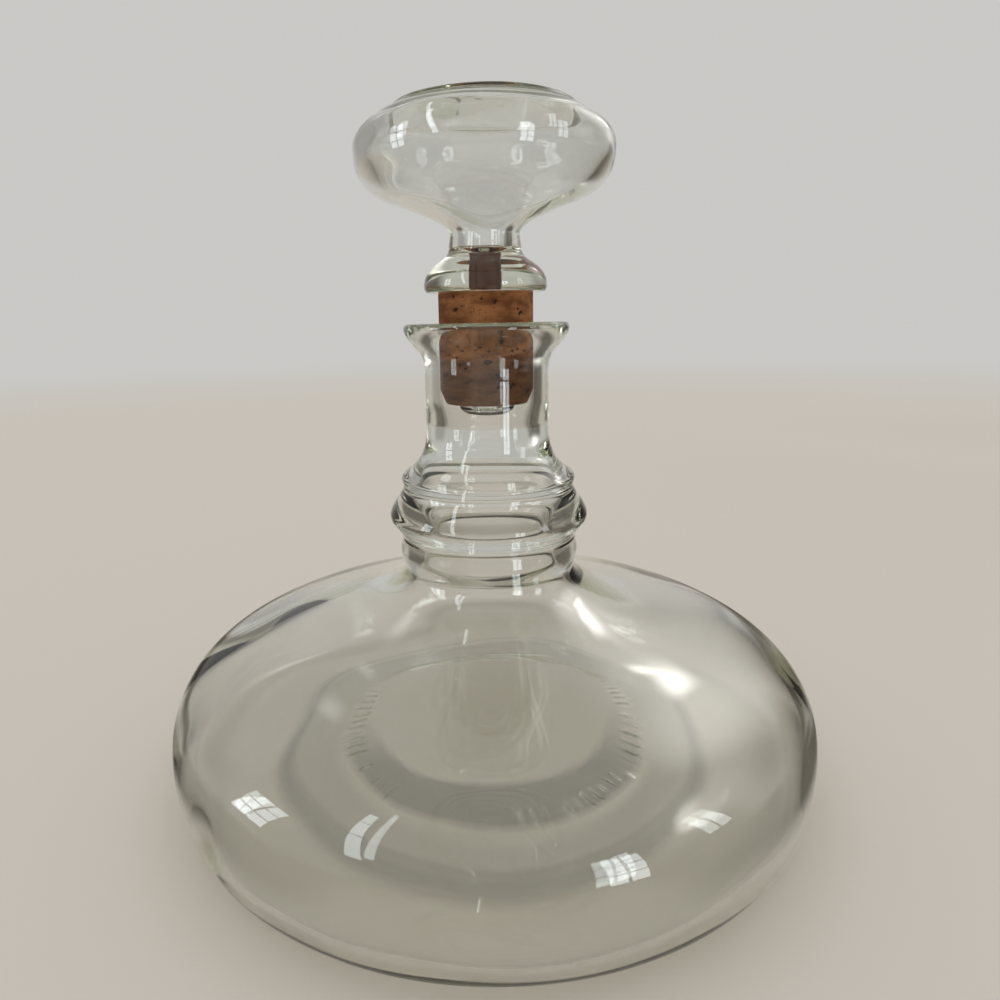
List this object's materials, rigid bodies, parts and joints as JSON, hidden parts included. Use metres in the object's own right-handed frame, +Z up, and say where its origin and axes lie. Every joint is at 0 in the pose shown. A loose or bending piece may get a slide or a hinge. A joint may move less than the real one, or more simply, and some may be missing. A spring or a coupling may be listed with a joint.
{
  "type": "liquor decanter",
  "caption": "Squat round glass decanter with a ringed collar, a flared lip and a hollow disc-shaped glass stopper that seats on a bored cork.",
  "frame": {"origin": "middle of the base, on the plane that the decanter stands on", "axes": "+Z up along the axis of the bottle and the stopper; every piece is round about it, so +X and +Y are any two directions across"},
  "size_m": [0.1856, 0.1856, 0.1866],
  "materials": {
    "clear_glass": "polished, clear, slightly grey-green at the edges",
    "cork": "natural cork, matte, with dark pores"
  },
  "bodies": {
    "decanter": {"glass_bottle": "clear_glass"},
    "stopper": {"glass_stopper": "clear_glass", "cork_sleeve": "cork"}
  },
  "joints": [
    {"name": "stopper_lift", "type": "slide", "parent": "decanter", "child": "stopper", "axis": [0, 0, 1], "range_m": [0, 0.05]}
  ]
}
